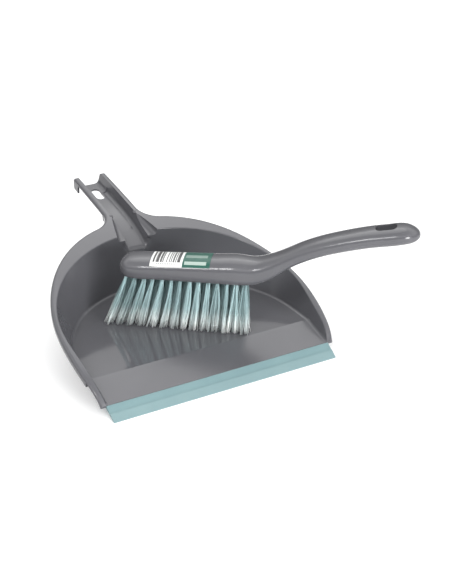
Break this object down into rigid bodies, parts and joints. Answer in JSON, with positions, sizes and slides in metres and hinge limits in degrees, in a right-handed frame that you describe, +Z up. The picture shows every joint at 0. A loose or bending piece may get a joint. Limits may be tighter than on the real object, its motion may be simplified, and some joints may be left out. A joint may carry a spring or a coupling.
{
  "type": "dust pan and brush set",
  "caption": "Dust pan with a soft lip, raised walls and a trough handle, and a one-piece hand brush with leaning bristle tufts resting in it.",
  "frame": {"origin": "middle of the lip's resting strip at ground level, on the pan's symmetry plane", "axes": "+Z up, +Y from the lip towards the pan's handle, +X to the right seen from the lip"},
  "size_m": [0.3378, 0.3889, 0.1475],
  "materials": {
    "grey_plastic": "glossy mid-grey moulded polypropylene",
    "teal_rubber": "satin soft rubber, pale grey-teal",
    "bristle": "bundled fine synthetic filaments, pale grey-teal",
    "anchor_steel": "plain steel strip",
    "label_film": "printed adhesive label, white with a green panel, no lettering"
  },
  "bodies": {
    "dustpan": {"pan_body": "grey_plastic", "lip_strip": "teal_rubber"},
    "brush": {"brush_body": "grey_plastic", "brush_label": "label_film", "tuft_anchors": "anchor_steel", "tuft_1_01": "bristle", "tuft_1_02": "bristle", "tuft_1_03": "bristle", "tuft_1_04": "bristle", "tuft_1_05": "bristle", "tuft_1_06": "bristle", "tuft_1_07": "bristle", "tuft_1_08": "bristle", "tuft_1_09": "bristle", "tuft_1_10": "bristle", "tuft_1_11": "bristle", "tuft_1_12": "bristle", "tuft_1_13": "bristle", "tuft_1_14": "bristle", "tuft_2_01": "bristle", "tuft_2_02": "bristle", "tuft_2_03": "bristle", "tuft_2_04": "bristle", "tuft_2_05": "bristle", "tuft_2_06": "bristle", "tuft_2_07": "bristle", "tuft_2_08": "bristle", "tuft_2_09": "bristle", "tuft_2_10": "bristle", "tuft_2_11": "bristle", "tuft_2_12": "bristle", "tuft_2_13": "bristle", "tuft_3_01": "bristle", "tuft_3_02": "bristle", "tuft_3_03": "bristle", "tuft_3_04": "bristle", "tuft_3_05": "bristle", "tuft_3_06": "bristle", "tuft_3_07": "bristle", "tuft_3_08": "bristle", "tuft_3_09": "bristle", "tuft_3_10": "bristle", "tuft_3_11": "bristle", "tuft_3_12": "bristle", "tuft_3_13": "bristle", "tuft_3_14": "bristle", "tuft_4_01": "bristle", "tuft_4_02": "bristle", "tuft_4_03": "bristle", "tuft_4_04": "bristle", "tuft_4_05": "bristle", "tuft_4_06": "bristle", "tuft_4_07": "bristle", "tuft_4_08": "bristle", "tuft_4_09": "bristle", "tuft_4_10": "bristle", "tuft_4_11": "bristle", "tuft_4_12": "bristle", "tuft_4_13": "bristle"}
  },
  "joints": [
    {"name": "brush_lift", "type": "slide", "parent": "dustpan", "child": "brush", "axis": [0, 0, 1], "range_m": [0, 0.2]}
  ]
}
